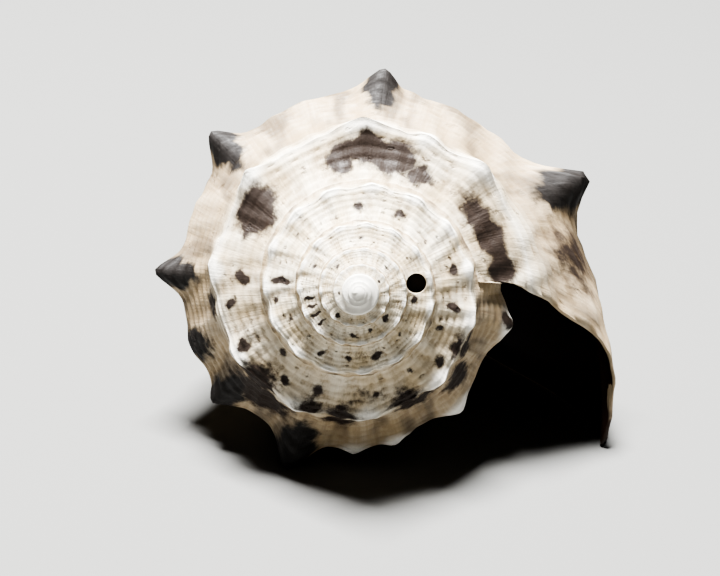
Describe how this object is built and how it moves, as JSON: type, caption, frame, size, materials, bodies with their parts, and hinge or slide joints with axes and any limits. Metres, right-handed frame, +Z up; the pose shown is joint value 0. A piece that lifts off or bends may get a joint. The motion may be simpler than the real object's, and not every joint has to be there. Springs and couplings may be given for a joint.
{
  "type": "knobbed sea snail shell",
  "caption": "Empty right-handed sea snail shell with a low stepped spire, two rows of knobs and horns and a wide flared mouth, lying on its mouth.",
  "frame": {"origin": "middle of the bounding box on the surface the shell lies on", "axes": "+Z up; the spire points to -Y and a little up, the siphonal tip to +Y, the open lip is on the +X side"},
  "size_m": [0.0756, 0.0782, 0.0565],
  "materials": {
    "shell": "dry chalky calcium carbonate, pale ridges over brown blotches"
  },
  "bodies": {
    "root": {"shell": "shell"}
  },
  "joints": []
}
